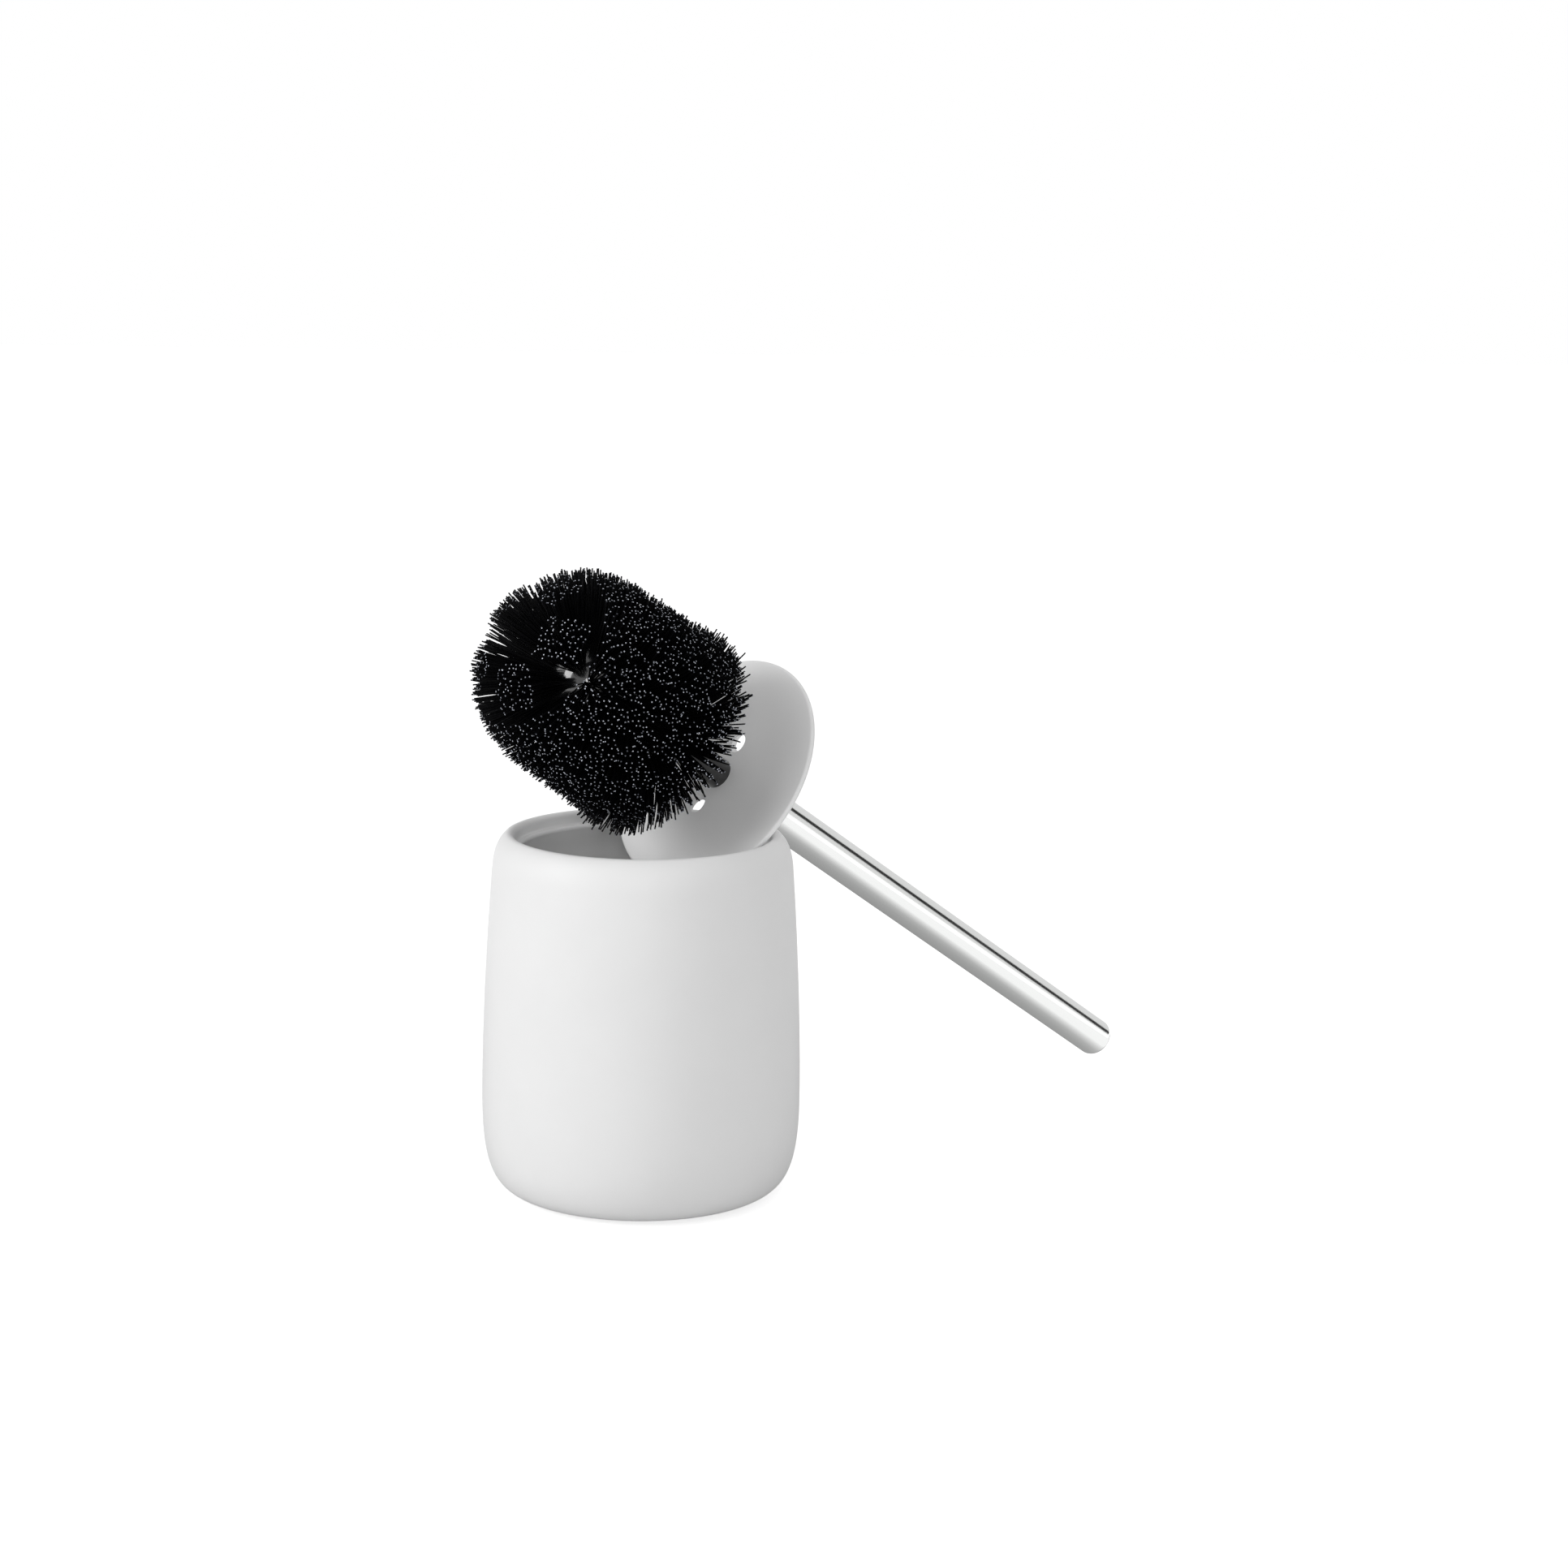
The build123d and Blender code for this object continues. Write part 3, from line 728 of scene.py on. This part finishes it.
class BRUSHSET_OT_bristles(bpy.types.Operator):
    """Plant the bristles, ring by ring, and trim them to the brush's round shape"""

    bl_idname = "brush_set.bristles"
    bl_label = "Bristles"

    def execute(self, context):
        self.sizes = context.scene.bristle_sizes
        self.core = context.scene.brush_sizes
        self.chance = random.Random(self.sizes.seed)
        self.pattern = self.model_bristle()
        materials = bristle_materials(context.scene.set_finish)
        rings = [self.straight_ring(number) for number in range(self.sizes.rings)]
        rings += [self.edge_ring(), self.end_ring()]
        for number, tufts in enumerate(rings, 1):
            ring = self.plant(f"bristle_ring_{number}", tufts)
            settle(ring, brush_place, "head", "bristle", materials, f"tuft_ring_{number}")
        return {"FINISHED"}

    def model_bristle(self):
        """Points and faces of one bristle of unit radius and length, open at its hidden end."""
        begin()
        bpy.ops.mesh.primitive_cylinder_add(vertices=BRISTLE_SIDES, radius=1, depth=1)
        bristle = bpy.context.object
        bpy.ops.object.mode_set(mode="EDIT")
        bpy.ops.mesh.select_all(action="SELECT")
        bpy.ops.transform.translate(value=(0, 0, 0.5))
        for cut in BRISTLE_CUTS:
            bpy.ops.mesh.select_all(action="SELECT")
            bpy.ops.mesh.bisect(plane_co=(0, 0, cut), plane_no=(0, 0, 1))
        bpy.ops.object.mode_set(mode="OBJECT")
        points = [vertex.co.copy() for vertex in bristle.data.vertices]
        kept = [face for face in bristle.data.polygons if face.center.z > 0.01]
        faces = [list(face.vertices) for face in kept]
        ends = [face.center.z > 0.99 for face in kept]
        bpy.data.objects.remove(bristle)
        return points, faces, ends

    def straight_ring(self, number):
        """The tufts of a ring on the core's straight part."""
        sizes = self.sizes
        tilt = sizes.tilt + number * sizes.tilt_step
        depth = sizes.first + number * sizes.pitch
        step = 2 * math.pi / sizes.per_ring
        turns = [sizes.turn + (tuft + number / 2) * step for tuft in range(sizes.per_ring)]
        shape = (sizes.per_tuft, sizes.tip_across, sizes.tip_along, sizes.uneven, 0)
        if number == 0:
            shape = (sizes.base_per_tuft, sizes.base_across, sizes.base_along, sizes.base_uneven, sizes.cling)
        return [self.tuft(depth, self.core.core_radius, tilt, turn, shape) for turn in turns]

    def edge_ring(self):
        """The tufts round the edge of the core's tip."""
        sizes = self.sizes
        shape = (sizes.edge_per_tuft, sizes.edge_across, sizes.edge_along, sizes.uneven, 0)
        return self.tip_ring(sizes.edge_slope, sizes.edge_tufts, sizes.edge_turn, shape)

    def end_ring(self):
        """The tufts at the end of the core's tip."""
        sizes = self.sizes
        shape = (sizes.end_per_tuft, sizes.end_spread, sizes.end_spread, sizes.uneven, 0)
        return self.tip_ring(sizes.end_slope, sizes.end_tufts, sizes.end_turn, shape)

    def tip_ring(self, slope, count, first_turn, shape):
        """The tufts of a ring on the round tip, at its slope."""
        depth = self.core.core_end + self.core.core_radius * math.sin(slope)
        radius = self.core.core_radius * math.cos(slope)
        turns = [first_turn + tuft * 2 * math.pi / count for tuft in range(count)]
        return [self.tuft(depth, radius, slope, turn, shape) for turn in turns]

    def tuft(self, depth, radius, slope, turn, shape):
        """A tuft, from its place on the core and its bristles, half widths, unevenness and cling."""
        out = Vector((math.cos(turn), -math.sin(turn), 0))
        root = out * radius - Vector((0, 0, depth))
        way = out * math.cos(slope) - Vector((0, 0, math.sin(slope)))
        return Tuft(root, way, *shape)

    def trimmed_radius(self, depth):
        """Radius that the bristles are trimmed to, at a depth below the lid."""
        sizes = self.sizes
        if depth > sizes.waist:
            share_of_dome = min(1, (depth - sizes.waist) / sizes.dome)
            return sizes.waist_radius * (1 - share_of_dome ** sizes.dome_power) ** (1 / sizes.dome_power)
        share_of_side = max(0, (depth - sizes.first) / (sizes.waist - sizes.first))
        return sizes.base_radius + (sizes.waist_radius - sizes.base_radius) * share_of_side

    def trimmed_length(self, root, way):
        """Length at which a bristle meets the trimmed shape."""
        near, far = 0.0, 2 * self.sizes.base_radius
        for halving in range(TRIM_HALVINGS):
            middle = (near + far) / 2
            point = root + way * middle
            if Vector((point.x, point.y)).length < self.trimmed_radius(-point.z):
                near = middle
            else:
                far = middle
        return near

    def plant(self, name, tufts):
        """One mesh with all the bristles of a ring."""
        points, faces, ends = self.pattern
        vertices = []
        polygons = []
        cut_ends = []
        for tuft in tufts:
            for number in range(tuft.bristles):
                first = len(vertices)
                vertices.extend(self.bristle(points, tuft, number))
                polygons.extend([first + corner for corner in face] for face in faces)
                cut_ends.extend(ends)
        mesh = bpy.data.meshes.new(name)
        mesh.from_pydata(vertices, [], polygons)
        # A cut end takes the second material
        mesh.polygons.foreach_set("material_index", [int(end) for end in cut_ends])
        ring = bpy.data.objects.new(name, mesh)
        bpy.context.scene.collection.objects.link(ring)
        begin()
        ring.select_set(True)
        bpy.context.view_layer.objects.active = ring
        bpy.ops.object.shade_smooth_by_angle(angle=BRISTLE_SMOOTH_ANGLE)
        return ring

    def bristle(self, points, tuft, number):
        """The points of one bristle, bent along its own line."""
        sizes = self.sizes
        root, way = tuft.root, tuft.way
        side = Vector((0, 0, 1)).cross(way).normalized()
        other = way.cross(side)
        places = [number * step + self.chance.uniform(-EVEN_JITTER, EVEN_JITTER) for step in EVEN_STEPS]
        column, row = (2 * (place % 1) - 1 for place in places)
        start = root + (side * column + other * row) * sizes.root_spread
        column += tuft.cling * (round(column * sizes.clumps) / sizes.clumps - column)
        fan = side * tuft.across * column + other * tuft.along * row
        aim = root + way * self.trimmed_length(root, way) + fan
        line = (aim - start).normalized()
        size = self.trimmed_length(start, line) + self.chance.gauss(0, tuft.uneven)
        bend = (side * self.chance.gauss(0, 1) + other * self.chance.gauss(0, 1)) * sizes.bend / 2
        first = line.orthogonal().normalized()
        second = line.cross(first)
        return [
            start
            + line * (-sizes.sunk + (size + sizes.sunk) * point.z)
            + bend * 4 * point.z * (1 - point.z)
            + (first * point.x + second * point.y) * sizes.radius
            for point in points
        ]


class BRUSHSET_OT_stage(bpy.types.Operator):
    """Set the floor, the soft light and the camera"""

    bl_idname = "brush_set.stage"
    bl_label = "Stage"

    def execute(self, context):
        self.floor()
        self.sky(context.scene)
        self.softbox("key_light", (-1.62, -0.59, 0.87), size=0.9, watts=13.6)
        self.softbox("front_light", (0.1, -1.93, 0.57), size=0.55, watts=6.8)
        self.softbox("top_light", (0.0, -0.4, 1.8), size=1.4, watts=3.4)
        back_light = self.softbox("back_light", (1.2, 1.5, 0.7), size=0.9, watts=5.5)
        # Out of reflections, so that the handle keeps its bands
        back_light.visible_glossy = False
        camera = self.camera(context.scene)
        self.cards(context.scene.brush_sizes, camera)
        context.scene.view_settings.view_transform = "Standard"
        return {"FINISHED"}

    def seen(self, owner):
        """A socket that is 1 for what the camera sees, straight or in a reflection."""
        path = add_node(owner, "ShaderNodeLightPath", {})
        total = path.outputs["Is Camera Ray"]
        for name in ("Is Glossy Ray", "Is Transmission Ray"):
            pair = {0: total, 1: path.outputs[name]}
            total = add_node(owner, "ShaderNodeMath", pair, operation="MAXIMUM").outputs["Value"]
        return total

    def floor(self):
        """A white floor that glows a little to the eye, so that it is white and still takes a shadow."""
        begin()
        bpy.ops.mesh.primitive_plane_add(size=FLOOR_SIDE)
        floor = bpy.context.object
        floor.name = "floor"
        material, surface = new_material(
            "studio_floor", Base_Color=linear("#D4D4D4"), Roughness=0.9, Emission_Color=WHITE
        )
        seen_glow = {0: self.seen(material), 1: FLOOR_GLOW}
        glow = add_node(material, "ShaderNodeMath", seen_glow, operation="MULTIPLY")
        link(material, glow.outputs["Value"], surface, "Emission Strength")
        floor.data.materials.append(material)

    def sky(self, scene):
        """Even light from all round, seen as plain white."""
        world = bpy.data.worlds.new("studio")
        world.use_nodes = True
        scene.world = world
        soft = add_node(world, "ShaderNodeBackground", {"Color": WHITE, "Strength": SKY_STRENGTH})
        plain = add_node(world, "ShaderNodeBackground", {"Color": WHITE, "Strength": 1.0})
        both = {"Fac": self.seen(world), 1: soft.outputs[0], 2: plain.outputs[0]}
        mix = add_node(world, "ShaderNodeMixShader", both)
        link(world, mix.outputs[0], world.node_tree.nodes["World Output"], "Surface")

    def softbox(self, name, place, size, watts):
        """A square soft light that faces the pot."""
        begin()
        bpy.ops.object.light_add(type="AREA", location=place)
        light = bpy.context.object
        light.name = name
        light.data.shape = "SQUARE"
        light.data.size = size
        light.data.energy = watts
        target = Vector((0, 0, (pot_low.z + pot_high.z) / 2))
        light.rotation_euler = (target - Vector(place)).to_track_quat("-Z", "Y").to_euler()
        return light

    def camera(self, scene):
        """The camera, turned so that a point of the pot's axis falls on its pixel of the picture."""
        distance = 1251.03 * MM
        elevation = math.radians(14.2206)
        roll = math.radians(0.3865)
        focal_px = 4077.1
        target = Vector((0, 0, pot_low.z + 70 * MM))
        target_px = Vector((790.97, 1237.63))
        back = Vector((0, -math.cos(elevation), math.sin(elevation)))
        begin()
        bpy.ops.object.camera_add(location=target + back * distance)
        camera = bpy.context.object
        camera.data.sensor_width = 36.0
        camera.data.lens = camera.data.sensor_width * focal_px / IMAGE_PX
        offset = (target_px - Vector((IMAGE_PX / 2, IMAGE_PX / 2))) / focal_px
        seen_at = Vector((offset.x, -offset.y, -1))
        look = (-back).to_track_quat("-Z", "Y").to_matrix()
        aim = Vector((0, 0, -1)).rotation_difference(seen_at).to_matrix()
        camera.rotation_euler = (look @ Matrix.Rotation(roll, 3, "Z") @ aim.transposed()).to_euler()
        scene.camera = camera
        return camera

    def cards(self, sizes, camera):
        """Cards that only reflections show, which give the round handle its lengthways bands."""
        middle = brush_origin + handle_dir * (sizes.lid_dish + sizes.lid_thickness + sizes.handle_length / 2)
        to_eye = (camera.location - middle).normalized()
        along = to_eye.dot(handle_dir)
        facing = (to_eye - handle_dir * along).normalized()
        above = facing.cross(handle_dir)
        above *= math.copysign(1, above.z)
        across = math.sqrt(1 - along ** 2)
        for name, turn, half_width, grey in HANDLE_CARDS:
            turn, half_width = math.radians(turn), math.radians(half_width)
            beside = (facing * math.cos(turn) + above * math.sin(turn)) * across
            upright = above * math.cos(turn) - facing * math.sin(turn)
            wide = 2 * across * math.tan(half_width)
            material, surface = self.card(name, middle + beside, handle_dir, upright, CARD_LENGTH, wide)
            surface.inputs["Emission Color"].default_value = linear(grey)
        self.floor_card()

    def floor_card(self):
        """A card on the floor, with a fan of greys about the point where the handle's line meets it, which
        paints the shade under the handle into the handle's reflections.
        """
        level = Vector((handle_dir.x, handle_dir.y, 0)).normalized()
        behind = Vector((0, 0, 1)).cross(level)
        end = brush_origin - handle_dir * (brush_origin.z / handle_dir.z)
        end.z = FLOOR_CARD_HEIGHT
        middle = end - level * FLOOR_CARD_SHIFT
        material, surface = self.card(
            "floor_card", middle, level, behind, FLOOR_CARD_LENGTH, FLOOR_CARD_WIDTH
        )
        place = add_node(material, "ShaderNodeTexCoord", {}).outputs["Object"]
        turn = (0, 0, math.atan2(-level.y, -level.x))
        fan = add_node(
            material,
            "ShaderNodeMapping",
            {"Vector": place, "Location": end, "Rotation": turn},
            vector_type="TEXTURE",
        )
        angle_share = add_node(
            material, "ShaderNodeTexGradient", {"Vector": fan.outputs["Vector"]}, gradient_type="RADIAL"
        )
        ramp = add_node(material, "ShaderNodeValToRGB", {"Fac": angle_share.outputs["Fac"]})
        while len(ramp.color_ramp.elements) < len(FLOOR_CARD_GREYS):
            ramp.color_ramp.elements.new(0.5)
        for element, (degrees, grey) in zip(ramp.color_ramp.elements, FLOOR_CARD_GREYS):
            element.position = 0.5 + degrees / 360
            element.color = linear(grey)
        link(material, ramp.outputs["Color"], surface, "Emission Color")

    def card(self, name, place, long_dir, wide_dir, long, wide):
        """A flat card that shows only in reflections; gives its material and the shader that lights it."""
        begin()
        bpy.ops.mesh.primitive_plane_add(size=1)
        card = bpy.context.object
        card.name = name
        turn = Matrix((long_dir * long, wide_dir * wide, long_dir.cross(wide_dir))).transposed().to_4x4()
        card.data.transform(Matrix.Translation(place) @ turn)
        material, surface = new_material(
            name, Base_Color=linear("#000000"), Roughness=1.0, Emission_Strength=1.0
        )
        card.data.materials.append(material)
        card.visible_camera = card.visible_diffuse = card.visible_shadow = card.visible_transmission = False
        return material, surface


OPERATORS = (
    BRUSHSET_OT_pot,
    BRUSHSET_OT_handle,
    BRUSHSET_OT_lid,
    BRUSHSET_OT_core,
    BRUSHSET_OT_bristles,
    BRUSHSET_OT_stage,
)


class BRUSHSET_PT_sidebar(bpy.types.Panel):
    """Lists the pieces of the set"""

    bl_idname = "BRUSHSET_PT_sidebar"
    bl_label = "Brush Set"
    bl_space_type = "VIEW_3D"
    bl_region_type = "UI"
    bl_category = "Brush Set"

    def draw(self, context):
        for operator in OPERATORS:
            self.layout.operator(operator.bl_idname)
        for name in GROUPS:
            group = getattr(context.scene, name)
            for field in group.bl_rna.properties.keys():
                if field not in ("rna_type", "name"):
                    self.layout.prop(group, field)


GROUPS = {
    "pot_sizes": PotSizes,
    "brush_sizes": BrushSizes,
    "bristle_sizes": BristleSizes,
    "set_finish": SetFinish,
}
CLASSES = (*GROUPS.values(), *OPERATORS, BRUSHSET_PT_sidebar)


def register():
    """Make the classes and the sizes known to Blender."""
    for one_class in CLASSES:
        bpy.utils.register_class(one_class)
    for name, group in GROUPS.items():
        setattr(bpy.types.Scene, name, PointerProperty(type=group))


def unregister():
    """Take the sizes and the classes away again."""
    for name in GROUPS:
        delattr(bpy.types.Scene, name)
    for one_class in reversed(CLASSES):
        bpy.utils.unregister_class(one_class)


def main():
    """Make the sizes known, then the whole set and its stage."""
    register()
    bpy.ops.brush_set.pot()
    bpy.ops.brush_set.handle()
    bpy.ops.brush_set.lid()
    bpy.ops.brush_set.core()
    bpy.ops.brush_set.bristles()
    bpy.ops.brush_set.stage()


if __name__ == "__main__":
    main()
